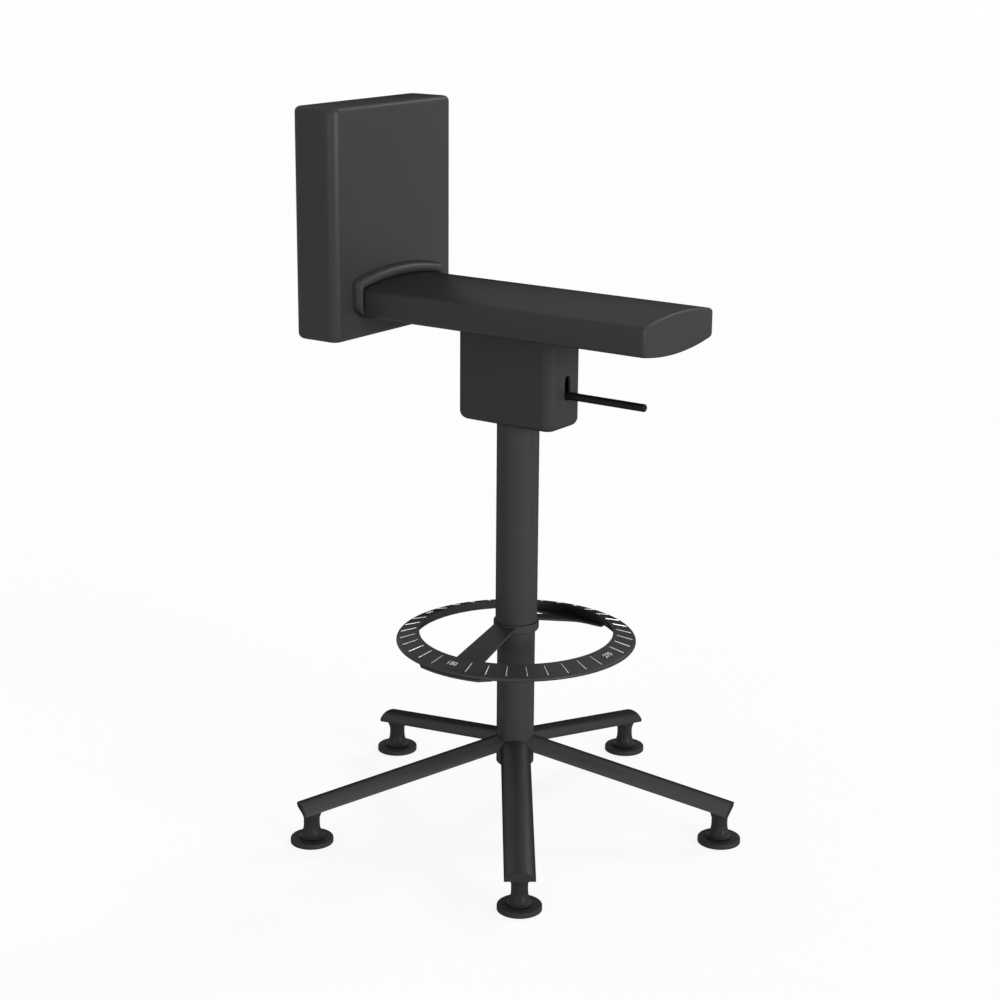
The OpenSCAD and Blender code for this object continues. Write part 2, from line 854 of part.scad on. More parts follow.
module arm_outline() {
    root_x = hub_r - hub_wall;
    polygon([
        [root_x, -arm_hub_w / 2],
        [arm_plate_x, -arm_ring_w / 2],
        [arm_plate_x, arm_ring_w / 2],
        [root_x, arm_hub_w / 2]
    ]);
    intersection() {
        polygon([
            for (side = [-1, 1], place = side > 0 ? [0, 1, 2] : [2, 1, 0])
                [
                    place == 0 ? ring_r : place == 1 ? plate_cut_x : arm_plate_x,
                    side * (arm_plate_l / 2 - (place == 0 ? ring_r - plate_cut_x : 0))
                ]
        ]);
        circle(arm_clip_r);
    }
    for (side = [-1, 1])
        difference() {
            translate([arm_plate_x - arm_fillet_r, side * arm_ring_w / 2 - arm_fillet_r])
                square([arm_fillet_r + cut, 2 * arm_fillet_r]);
            translate([arm_plate_x - arm_fillet_r, side * (arm_ring_w / 2 + arm_fillet_r)])
                circle(arm_fillet_r);
        }
}

// Side view of the arm
module arm_profile() {
    root_z = hub_top_z - arm_hub_fall + arm_slope * hub_wall;
    drop = arm_t * sqrt(1 + arm_slope * arm_slope);
    polygon([
        [hub_r - hub_wall, root_z],
        [arm_plate_x, arm_top_z],
        [ring_r, arm_top_z],
        [ring_r, arm_top_z - arm_t],
        [arm_plate_x - arm_t * arm_slope / 2, arm_top_z - arm_t],
        [hub_r - hub_wall, root_z - drop]
    ]);
}

// Shanks of the ring's screws, reaching over their ends by over
module ring_screw_runs(r, over) {
    for (x = [-ring_screw_x, ring_screw_x], y = [-ring_screw_y, ring_screw_y])
        translate([x, y, arm_top_z - arm_t - over])
            cylinder(h = arm_t + weld_gap + ring_screw_depth + 2 * over, r = r);
}

module ring_screws() {
    head_r = ring_screw_d * 0.9;
    head_h = ring_screw_d * 0.5;
    color("#9a9da0") {
        ring_screw_runs(ring_screw_d / 2, 0);
        for (x = [-ring_screw_x, ring_screw_x], y = [-ring_screw_y, ring_screw_y])
            translate([x, y, arm_top_z - arm_t - head_h]) cylinder(h = head_h, r = head_r);
    }
}

// Shape of the set screws, reaching over the hub's wall by over on both sides
module set_screw_runs(r, over) {
    for (turn = set_screw_turns)
        rotate([0, 0, turn])
            translate([column_r + weld_gap - over, 0, hub_top_z - hub_h / 2])
                rotate([0, 90, 0]) cylinder(h = hub_wall - weld_gap + 2 * over, r = r);
}

module ring_set_screws() {
    color("#202122") set_screw_runs(set_screw_d / 2, 0);
}

// Mechanism

module mechanism_housing() {
    color("#3a3c3d")
        difference() {
            union() {
                difference() {
                    translate([0, 0, housing_z])
                        soft_block(housing_w, housing_l, housing_h, housing_corner_r, housing_edge_r);
                    translate([0, 0, floor_z])
                        soft_block(
                            housing_w - 2 * housing_wall, housing_l - 2 * housing_wall, housing_h,
                            housing_corner_r - housing_wall, housing_edge_r - housing_wall
                        );
                }
                for (x = [-boss_x, boss_x], y = [-boss_y, boss_y])
                    translate([x, y, boss_z])
                        cylinder(h = housing_z + housing_h - boss_z, r = boss_r);
            }
            housing_screw_runs(housing_screw_r + press_gap, cut);
            translate([0, 0, housing_z - cut])
                cylinder(h = housing_wall + 2 * cut, r = spring_r + running_gap);
            lever_slot();
        }
}

// Upright slot with round ends through the housing's front wall
module lever_slot() {
    translate([0, -housing_l / 2 + 2 * housing_wall, housing_z + slot_rise + slot_w / 2])
        rotate([90, 0, 0])
            linear_extrude(3 * housing_wall) {
                translate([-slot_w / 2, 0]) square([slot_w, slot_h - slot_w]);
                for (z = [0, slot_h - slot_w]) translate([0, z]) circle(slot_w / 2);
            }
}

// Shanks of the housing's screws, reaching over their ends by over
module housing_screw_runs(r, over) {
    for (x = [-boss_x, boss_x], y = [-boss_y, boss_y])
        translate([x, y, bar_z - housing_screw_h - over])
            cylinder(h = housing_screw_h + over, r = r);
}

// Countersunk heads of the housing's screws, larger by gap
module housing_screw_heads(gap) {
    for (x = [-boss_x, boss_x], y = [-boss_y, boss_y])
        translate([x, y, bar_z - plate_t / 2 - gap])
            cylinder(h = plate_t / 2 + gap, r1 = housing_screw_r, r2 = housing_screw_head_r + gap);
}

module housing_screws() {
    color("#b0b2b4") {
        housing_screw_runs(housing_screw_r, 0);
        housing_screw_heads(0);
    }
}

module taper_socket() {
    color("#6a6d6f")
        difference() {
            translate([0, 0, floor_z])
                cylinder(h = taper_h - taper_socket_wall / 2, r = spring_r + taper_socket_wall);
            translate([0, 0, floor_z - cut])
                cylinder(h = cut + weld_gap, r = spring_r + press_gap);
            translate([0, 0, floor_z])
                cylinder(h = taper_h, r1 = spring_r + press_gap, r2 = spring_top_r + press_gap);
        }
}

// Foot, two cheeks and the stop on which the lever rests
module lever_bracket() {
    color("#8f9294")
        difference() {
            translate([0, -pivot_reach, 0]) {
                translate([-bracket_foot_w / 2, -bracket_l / 2, floor_z])
                    cube([bracket_foot_w, bracket_l, bracket_t]);
                for (side = [-1, 1])
                    translate([side * (cheek_x + bracket_t / 2) - bracket_t / 2, -bracket_l / 4, floor_z])
                        cube([bracket_t, bracket_l / 2, bracket_top_z - floor_z]);
                translate([-lever_r, -bracket_l / 2, floor_z])
                    cube([lever_d, bracket_t, lever_z - lever_r - seam - floor_z]);
            }
            pivot_run(pivot_r + press_gap, bracket_w + 2 * cut);
        }
}

module pivot_run(r, w) {
    translate([-w / 2, -pivot_reach, lever_z]) rotate([0, 90, 0]) cylinder(h = w, r = r);
}

module lever_pin() {
    color("#c0c2c4") {
        pivot_run(pivot_r, bracket_w);
        for (side = [-1, 1])
            translate([side * (bracket_w + pin_head_h) / 2, 0, 0]) pivot_run(pin_head_r, pin_head_h);
    }
}

module height_lever() {
    color("#151515")
        difference() {
            translate([0, lever_tail, lever_z])
                rotate([90, 0, 0]) {
                    cylinder(h = lever_reach + lever_tail - lever_chamfer, r = lever_r);
                    translate([0, 0, lever_reach + lever_tail - lever_chamfer])
                        cylinder(h = lever_chamfer, r1 = lever_r, r2 = lever_r - lever_chamfer);
                }
            pivot_run(pivot_r + running_gap, 2 * lever_d);
        }
}

// Seat frame and pads

module seat_plate() {
    color("#4a4d50")
        difference() {
            seat_plate_block(0);
            housing_screw_runs(housing_screw_r + press_gap, cut);
            housing_screw_heads(press_gap);
            bar_screw_runs(bar_screw_r + press_gap, cut);
        }
}

module seat_plate_block(gap) {
    translate([-plate_w / 2 - gap, -plate_l / 2 - gap, plate_z])
        cube([plate_w + 2 * gap, plate_l + 2 * gap, plate_t + gap]);
}

// Bent flat bar, larger by gap on all sides
module flat_bar_block(gap) {
    outer = bar_bend_r + gap;
    inner = bar_inner_r - gap;
    bend_y = bar_y - bar_bend_r;
    bend_z = bar_z + bar_bend_r;
    translate([-bar_w / 2 - gap, 0, 0])
        rotate([90, 0, 90])
            linear_extrude(bar_w + 2 * gap) {
                translate([bar_front_y - gap, bar_z - gap])
                    square([bend_y - bar_front_y + gap, bar_t + 2 * gap]);
                translate([bar_y - bar_t - gap, bend_z])
                    square([bar_t + 2 * gap, bar_top_z - bend_z + gap]);
                translate([bend_y, bend_z])
                    intersection() {
                        difference() {
                            circle(outer);
                            circle(inner);
                        }
                        translate([0, -outer]) square([outer, outer]);
                    }
            }
}

module flat_bar() {
    color("#4a4d50")
        difference() {
            flat_bar_block(0);
            bar_screw_runs(bar_screw_r + press_gap, cut);
        }
}

// Shanks of the flat bar's screws, reaching over their ends by over
module bar_screw_runs(r, over) {
    for (x = [-bar_screw_x, bar_screw_x], y = [-bar_screw_y, bar_screw_y])
        translate([x, y, plate_z - over]) cylinder(h = plate_t + bar_t + 2 * over, r = r);
}

module bar_screws() {
    color("#b0b2b4") {
        bar_screw_runs(bar_screw_r, 0);
        for (x = [-bar_screw_x, bar_screw_x], y = [-bar_screw_y, bar_screw_y])
            translate([x, y, plate_z - bar_screw_head_h])
                cylinder(h = bar_screw_head_h, r = bar_screw_head_r);
    }
}

module seat_pad() {
    color("#36393b")
        difference() {
            loft(pad_rings(
                seat_w, -seat_front, seat_back_y, seat_corner_r, seat_bottom_z, seat_crest_z,
                seat_belly_r, seat_crown_r, seat_lower_edge_r, seat_edge_r
            ));
            seat_plate_block(seam);
            translate([-plate_w / 2 - seam, -plate_l / 2 - seam, seat_bottom_z - cut])
                cube([plate_w + 2 * seam, plate_l + 2 * seam, seat_skirt + 2 * cut]);
            flat_bar_block(seam);
        }
}

module backrest_pad() {
    color("#444646")
        difference() {
            union() {
                loft(pad_rings(
                    back_w, back_y, back_y + back_t, back_corner_r, back_bottom_z, back_top_z,
                    0, 0, back_edge_r, back_edge_r
                ));
                loft(collar_rings());
            }
            flat_bar_block(seam);
        }
}

lower_column();
column_end_plug();
bearing_plate();
guide_bush();
leg(0);  // leg_1
leg(1);  // leg_2
leg(2);  // leg_3
leg(3);  // leg_4
leg(4);  // leg_5
leg_plug(0);  // leg_plug_1
leg_plug(1);  // leg_plug_2
leg_plug(2);  // leg_plug_3
leg_plug(3);  // leg_plug_4
leg_plug(4);  // leg_plug_5
glide_socket(0);  // glide_socket_1
glide_socket(1);  // glide_socket_2
glide_socket(2);  // glide_socket_3
glide_socket(3);  // glide_socket_4
glide_socket(4);  // glide_socket_5
glide_bell(0);  // glide_bell_1
glide_bell(1);  // glide_bell_2
glide_bell(2);  // glide_bell_3
glide_bell(3);  // glide_bell_4
glide_bell(4);  // glide_bell_5
glide_sole(0);  // glide_sole_1
glide_sole(1);  // glide_sole_2
glide_sole(2);  // glide_sole_3
glide_sole(3);  // glide_sole_4
glide_sole(4);  // glide_sole_5
foot_ring();
ring_ribs();
ring_hub();
rotate([0, 0, 180]) ring_arm();  // ring_arm_left
ring_arm();  // ring_arm_right
ring_screws();
ring_set_screws();
piston_rod();
piston();
thrust_bearing();
rod_clip();
pressure_tube();
rod_seal();
taper_socket();
upper_sleeve();
mechanism_housing();
lever_bracket();
lever_pin();
housing_screws();
seat_plate();
flat_bar();
bar_screws();
seat_pad();
backrest_pad();
height_lever();
release_pin();
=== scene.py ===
"""Looks of a tall swivel chair on a gas-spring column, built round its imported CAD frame.

Every length is in metres and every place is in the frame of the CAD model: +Z up along
the column, -Y the way the seated person faces. Each sub-assembly is a class that models
its pieces with Blender's operators and dresses them and its CAD nodes with finishes.
"""

from __future__ import annotations

import json
import logging
import math
from dataclasses import dataclass
from enum import Enum
from functools import cached_property
from typing import Any, Callable, Iterable, Sequence

import bmesh
import bpy
from mathutils import Matrix, Vector

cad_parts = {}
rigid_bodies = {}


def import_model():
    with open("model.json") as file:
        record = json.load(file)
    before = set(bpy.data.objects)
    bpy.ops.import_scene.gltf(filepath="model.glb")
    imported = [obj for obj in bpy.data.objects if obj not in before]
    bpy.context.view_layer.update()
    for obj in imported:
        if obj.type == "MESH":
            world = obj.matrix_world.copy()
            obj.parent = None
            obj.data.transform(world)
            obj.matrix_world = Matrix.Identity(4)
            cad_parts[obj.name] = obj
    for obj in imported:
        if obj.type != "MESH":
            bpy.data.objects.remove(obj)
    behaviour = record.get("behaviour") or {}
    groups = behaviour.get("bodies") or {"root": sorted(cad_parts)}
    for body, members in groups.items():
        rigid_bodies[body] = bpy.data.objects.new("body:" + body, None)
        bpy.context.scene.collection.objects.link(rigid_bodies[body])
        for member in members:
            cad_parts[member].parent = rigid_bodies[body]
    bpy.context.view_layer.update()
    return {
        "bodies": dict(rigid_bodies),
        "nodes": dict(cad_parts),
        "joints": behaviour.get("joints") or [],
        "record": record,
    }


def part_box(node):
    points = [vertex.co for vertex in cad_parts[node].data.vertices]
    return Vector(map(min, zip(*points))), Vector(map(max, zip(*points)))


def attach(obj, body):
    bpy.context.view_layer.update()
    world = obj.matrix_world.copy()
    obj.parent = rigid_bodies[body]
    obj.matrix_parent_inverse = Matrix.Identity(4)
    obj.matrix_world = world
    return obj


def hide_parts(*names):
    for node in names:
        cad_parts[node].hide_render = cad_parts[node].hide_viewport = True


LOG = logging.getLogger("swivel_chair")

# Lengths that differ by less than this count as the same
SAME_PLACE = 1e-5
# Vertices that lie closer together than this are merged
MERGE_DISTANCE = 1e-6
# Edges at which the surface turns by more degrees than this are sharp
SHARP_DEGREES = 50.0
# Size of the plane that is merged into the first point of a line
SEED_SIZE = 0.001

# Red, green and blue; points in space and in a plane; a pair of limits; a test of a place
Colour = tuple[float, float, float]
Point = tuple[float, float, float]
Flat = tuple[float, float]
Span = tuple[float, float]
Test = Callable[[Vector], bool]

WHITE: Colour = (1.0, 1.0, 1.0)


class Slot(Enum):
    """Names of the record's material slots for the new pieces; the pieces are not given them."""

    COVER = "cover"
    RIB = "rib_metal"


class Body(Enum):
    """Bodies of the CAD model on which new pieces ride."""

    BASE = "base"
    SEAT_UNIT = "seat_unit"


# Shader maths


@dataclass(frozen=True)
class Noise:
    """One layer of soft noise.

    Its size is the length of one wave. The values inside its window are stretched onto the
    range that it is mapped onto, and those outside are held at the range's ends.
    """

    size: float
    detail: float
    window: Span = (0.3, 0.7)
    onto: Span = (0.0, 1.0)
    roughness: float = 0.5


class Wire:
    """A number inside a material on which Python's arithmetic adds Math nodes."""

    def __init__(self, shader: Shader, source: bpy.types.NodeSocket) -> None:
        """Keeps the shader and the socket that the number comes from."""
        self.shader = shader
        self.source = source

    def join(self, operation: str, other: Any) -> Wire:
        """Adds one Math node.

        Args:
            operation: The Math node's operation.
            other: The second value, a number, a wire or a socket.

        Returns:
            The node's result.
        """
        node = self.shader.node("ShaderNodeMath", {"operation": operation}, self, other)
        return Wire(self.shader, node.outputs[0])

    def __add__(self, other: Any) -> Wire:
        """Sum of the two."""
        return self.join("ADD", other)

    def __mul__(self, other: Any) -> Wire:
        """Product of the two."""
        return self.join("MULTIPLY", other)

    def __sub__(self, other: Any) -> Wire:
        """This less the other."""
        return self.join("SUBTRACT", other)


class Shader:
    """One node tree under construction, of a material or of the world."""

    def __init__(self, owner: bpy.types.Material | bpy.types.World) -> None:
        """Empties the owner's node tree."""
        owner.use_nodes = True
        self.tree = owner.node_tree
        self.tree.nodes.clear()

    @cached_property
    def place(self) -> bpy.types.NodeSocket:
        """Place in the object's own coordinates."""
        return self.node("ShaderNodeTexCoord").outputs["Object"]

    def node(
        self, kind: str, settings: dict[str, Any] | None = None, *values: Any, **named: Any
    ) -> bpy.types.Node:
        """Adds a node, sets it up and feeds its sockets.

        Args:
            kind: The node's type.
            settings: Its settings, which are set first.
            values: Numbers, colours, wires or sockets for its sockets in order.
            named: The same for sockets by name, with _ for a space.

        Returns:
            The new node.
        """
        made = self.tree.nodes.new(kind)
        for key, value in (settings or {}).items():
            setattr(made, key, value)
        pairs = list(zip(made.inputs, values))
        pairs += [(made.inputs[key.replace("_", " ")], value) for key, value in named.items()]
        for socket, value in pairs:
            if isinstance(value, Wire):
                value = value.source
            if isinstance(value, bpy.types.NodeSocket):
                self.tree.links.new(value, socket)
            elif isinstance(value, tuple) and len(value) == 3 and socket.type == "RGBA":
                socket.default_value = (*value, 1.0)
            else:
                socket.default_value = value
        return made

    def noise(self, layer: Noise) -> Wire:
        """Soft noise as it comes, without the layer's window."""
        made = self.node(
            "ShaderNodeTexNoise",
            Vector=self.place,
            Scale=1.0 / layer.size,
            Detail=layer.detail,
            Roughness=layer.roughness,
        )
        return Wire(self, made.outputs["Fac"])

    def layer(self, layer: Noise) -> Wire:
        """Soft noise with its window stretched onto its range."""
        return self.stretch(self.noise(layer), layer.window, layer.onto)

    def cells(self, size: float) -> Wire:
        """Distance to the middle of irregular cells that are about size metres wide."""
        made = self.node(
            "ShaderNodeTexVoronoi", {"feature": "F1"}, Vector=self.place, Scale=1.0 / size
        )
        return Wire(self, made.outputs["Distance"])

    def stretch(self, value: Wire, window: Span, onto: Span) -> Wire:
        """Maps a window of values onto a range and holds the others at its ends."""
        made = self.node("ShaderNodeMapRange", {"clamp": True}, value, *window, *onto)
        return Wire(self, made.outputs["Result"])

    def blend(self, share: Wire, first: Colour, second: Colour) -> bpy.types.NodeSocket:
        """Mixes two colours.

        Args:
            share: The second colour's share.
            first: The first colour.
            second: The second colour.

        Returns:
            The mixed colour.
        """
        made = self.node("ShaderNodeMix", {"data_type": "RGBA"}, Factor=share)
        colours = [socket for socket in made.inputs if socket.type == "RGBA"]
        for socket, colour in zip(colours, (first, second)):
            socket.default_value = (*colour, 1.0)
        return next(socket for socket in made.outputs if socket.type == "RGBA")

    def gloss(self, weight: float, fall: Span) -> Wire:
        """Share of gloss, full where the surface faces the view and none at its rim.

        Args:
            weight: The gloss where the surface faces the view.
            fall: Where it begins to fall and where none is left, from 0 at the middle of a
                round shape to 1 at its rim.

        Returns:
            The share.
        """
        facing = Wire(self, self.node("ShaderNodeLayerWeight").outputs["Facing"])
        return self.stretch(facing, fall, (weight, 0.0))

    def relief(
        self, height: Wire, depth: float, strength: float, **under: bpy.types.NodeSocket
    ) -> bpy.types.NodeSocket:
        """Normal of a surface with a relief.

        Args:
            height: The relief's height, from 0 to 1.
            depth: Its depth in metres.
            strength: Its strength, from 0 to 1.
            under: Normal of another relief on which this one lies.

        Returns:
            The normal.
        """
        made = self.node(
            "ShaderNodeBump", Strength=strength, Distance=depth, Height=height, **under
        )
        return made.outputs["Normal"]

    def seen(self) -> Wire:
        """Tells the rays that show things from those that carry light.

        Returns:
            1 for rays that the camera, glass or a glossy surface sends, and 0 for the others.
        """
        rays = self.node("ShaderNodeLightPath").outputs
        seen = Wire(self, rays["Is Camera Ray"])
        for kind in ("Is Glossy Ray", "Is Transmission Ray"):
            seen = seen.join("MAXIMUM", rays[kind])
        return seen


# Finishes


@dataclass(frozen=True)
class Finish:
    """A material that is worked out from numbers."""

    name: str
    colour: Colour

    def tinted(self, factor: float) -> Colour:
        """The finish's colour with all parts multiplied by a factor."""
        red, green, blue = self.colour
        return red * factor, green * factor, blue * factor

    def sockets(self, shader: Shader) -> dict[str, Any]:
        """Works out what feeds the Principled surface.

        Args:
            shader: The material under construction.

        Returns:
            Values or links of the surface's sockets, with _ for a space in a name.
        """
        raise NotImplementedError

    def build(self) -> bpy.types.Material:
        """Makes the finish's material.

        Returns:
            The material.
        """
        material = bpy.data.materials.new(self.name)
        shader = Shader(material)
        body = shader.node("ShaderNodeBsdfPrincipled", None, **self.sockets(shader))
        shader.node("ShaderNodeOutputMaterial", Surface=body.outputs["BSDF"])
        return material


@dataclass(frozen=True)
class PowderCoat(Finish):
    """Satin powder coat on metal, with a fine orange-peel relief."""

    roughness: float = 0.42
    gloss: float = 0.24
    gloss_fall: Span = (0.45, 0.90)
    light_tint: float = 1.09
    patches: Noise = Noise(0.07, 3.0, (0.35, 0.65))
    patch_share: float = 0.7
    specks: Noise = Noise(0.0007, 1.0, (0.62, 0.75))
    rubbing: Noise = Noise(0.03, 4.0, (0.4, 0.7), (-0.02, 0.05), 0.6)
    peel: Noise = Noise(0.0011, 2.0)
    peel_depth: float = 0.00004
    peel_strength: float = 0.6
    peel_roughness: float = 0.04

    def sockets(self, shader: Shader) -> dict[str, Any]:
        """Works out what feeds the Principled surface.

        Args:
            shader: The material under construction.

        Returns:
            Values or links of the surface's sockets, with _ for a space in a name.
        """
        patches = shader.layer(self.patches) * self.patch_share
        specks = shader.layer(self.specks) * (1 - self.patch_share)
        peel = shader.noise(self.peel)
        rubbed = shader.layer(self.rubbing) + self.roughness
        return {
            "Base_Color": shader.blend(
                patches + specks, self.colour, self.tinted(self.light_tint)
            ),
            "Specular_IOR_Level": 0.0,
            "Coat_Weight": shader.gloss(self.gloss, self.gloss_fall),
            "Coat_Roughness": self.roughness,
            "Roughness": rubbed + peel * self.peel_roughness,
            "Normal": shader.relief(peel, self.peel_depth, self.peel_strength),
        }


@dataclass(frozen=True)
class FoamSkin(Finish):
    """Matt skin of moulded foam, with a fine leather-like grain."""

    roughness: float = 0.38
    gloss: float = 0.34
    gloss_fall: Span = (0.45, 1.0)
    light_tint: float = 1.12
    broad: Noise = Noise(0.11, 2.0)
    broad_share: float = 0.6
    grain: float = 0.0009
    grain_window: Span = (0.1, 0.8)
    grain_share: float = 0.7
    grain_depth: float = 0.00009
    grain_strength: float = 0.5
    pores: Noise = Noise(0.00045, 1.0)
    dips: Noise = Noise(0.045, 2.0)
    dip_depth: float = 0.0006
    dip_strength: float = 0.25
    roughness_change: float = 0.05

    def sockets(self, shader: Shader) -> dict[str, Any]:
        """Works out what feeds the Principled surface.

        Args:
            shader: The material under construction.

        Returns:
            Values or links of the surface's sockets, with _ for a space in a name.
        """
        creases = shader.stretch(shader.cells(self.grain), self.grain_window, (1.0, 0.0))
        broad = shader.layer(self.broad)
        share = broad * self.broad_share + creases * (1 - self.broad_share)
        height = creases * self.grain_share + shader.layer(self.pores) * (1 - self.grain_share)
        fine = shader.relief(height, self.grain_depth, self.grain_strength)
        dips = shader.noise(self.dips)
        change = self.roughness_change
        return {
            "Base_Color": shader.blend(share, self.colour, self.tinted(self.light_tint)),
            "Specular_IOR_Level": 0.0,
            "Coat_Weight": shader.gloss(self.gloss, self.gloss_fall),
            "Coat_Roughness": self.roughness,
            "Roughness": broad * change + self.roughness - creases * change,
            "Normal": shader.relief(dips, self.dip_depth, self.dip_strength, Normal=fine),
        }


@dataclass(frozen=True)
class MouldedPlastic(Finish):
    """Moulded plastic with a spark-eroded texture."""

    roughness: float = 0.5
    gloss: float = 0.22
    gloss_fall: Span = (0.45, 0.90)
    light_tint: float = 1.15
    flow: Noise = Noise(0.02, 2.0)
    flow_roughness: float = 0.06
    sparks: Noise = Noise(0.0005, 2.0)
    spark_depth: float = 0.00004
    spark_strength: float = 0.5

    def sockets(self, shader: Shader) -> dict[str, Any]:
        """Works out what feeds the Principled surface.

        Args:
            shader: The material under construction.

        Returns:
            Values or links of the surface's sockets, with _ for a space in a name.
        """
        sparks = shader.noise(self.sparks)
        flow = shader.layer(self.flow)
        return {
            "Base_Color": shader.blend(flow, self.colour, self.tinted(self.light_tint)),
            "Specular_IOR_Level": 0.0,
            "Coat_Weight": shader.gloss(self.gloss, self.gloss_fall),
            "Coat_Roughness": self.roughness,
            "Roughness": flow * self.flow_roughness + self.roughness,
            "Normal": shader.relief(sparks, self.spark_depth, self.spark_strength),
        }


@dataclass(frozen=True)
class BareMetal(Finish):
    """Bare or plated metal with fine drawn marks."""

    roughness: float = 0.25
    dark_tint: float = 0.9
    stains: Noise = Noise(0.012, 3.0, (0.35, 0.7))
    stain_roughness: float = 0.08
    marks: Noise = Noise(0.0006, 3.0)
    mark_roughness: float = 0.04
    mark_depth: float = 0.00002
    mark_strength: float = 0.3

    def sockets(self, shader: Shader) -> dict[str, Any]:
        """Works out what feeds the Principled surface.

        Args:
            shader: The material under construction.

        Returns:
            Values or links of the surface's sockets, with _ for a space in a name.
        """
        marks = shader.noise(self.marks)
        stains = shader.layer(self.stains)
        stained = stains * self.stain_roughness + self.roughness
        return {
            "Base_Color": shader.blend(stains, self.colour, self.tinted(self.dark_tint)),
            "Metallic": 1.0,
            "Roughness": stained + marks * self.mark_roughness,
            "Normal": shader.relief(marks, self.mark_depth, self.mark_strength),
        }


@dataclass(frozen=True)
class Finishes:
    """The chair's finishes."""

    column: Finish = PowderCoat("column_coat", (0.056, 0.056, 0.057))
    leg: Finish = PowderCoat(
        "leg_coat", (0.038, 0.041, 0.042), gloss=0.95, gloss_fall=(0.12, 0.62)
    )
    ring: Finish = PowderCoat(
        "ring_coat", (0.040, 0.042, 0.044), roughness=0.36, gloss=0.60, gloss_fall=(0.20, 0.86)
    )
    housing: Finish = PowderCoat("housing_coat", (0.053, 0.054, 0.055))
    lever: Finish = PowderCoat("lever_coat", (0.010, 0.010, 0.010), roughness=0.45)
    glide: Finish = PowderCoat("glide_coat", (0.030, 0.032, 0.032), roughness=0.4)
    frame: Finish = PowderCoat("frame_coat", (0.030, 0.031, 0.032))
    spring: Finish = PowderCoat("spring_coat", (0.008, 0.008, 0.009), roughness=0.3)
    cover: Finish = FoamSkin("foam_skin", (0.046, 0.048, 0.050))
    plug: Finish = MouldedPlastic("plug_plastic", (0.018, 0.018, 0.018))
    cap: Finish = MouldedPlastic("cap_plastic", (0.041, 0.043, 0.044), roughness=0.42)
    sole: Finish = MouldedPlastic("sole_plastic", (0.044, 0.045, 0.045))
    rubber: Finish = MouldedPlastic("seal_rubber", (0.012, 0.012, 0.012), roughness=0.7)
    rib: Finish = BareMetal("rib_metal", (0.62, 0.63, 0.64), roughness=0.2)
    rod: Finish = BareMetal("rod_chrome", (0.72, 0.73, 0.74), roughness=0.08)
    zinc: Finish = BareMetal("zinc_plate", (0.50, 0.51, 0.52), roughness=0.3)
    screw: Finish = BareMetal("black_oxide", (0.055, 0.055, 0.058), roughness=0.36)


class Wardrobe:
    """Builds each finish once and puts it on objects."""

    def __init__(self) -> None:
        """Starts with no finish built."""
        self.built: dict[Finish, bpy.types.Material] = {}

    def dress(self, obj: bpy.types.Object, finish: Finish) -> None:
        """Puts one finish on an object.

        Args:
            obj: The object to dress.
            finish: The finish.
        """
        if finish not in self.built:
            self.built[finish] = finish.build()
        obj.data.materials.clear()
        obj.data.materials.append(self.built[finish])


# Modelling


def near(first: float, second: float) -> bool:
    """Whether two lengths are the same."""
    return abs(first - second) < SAME_PLACE


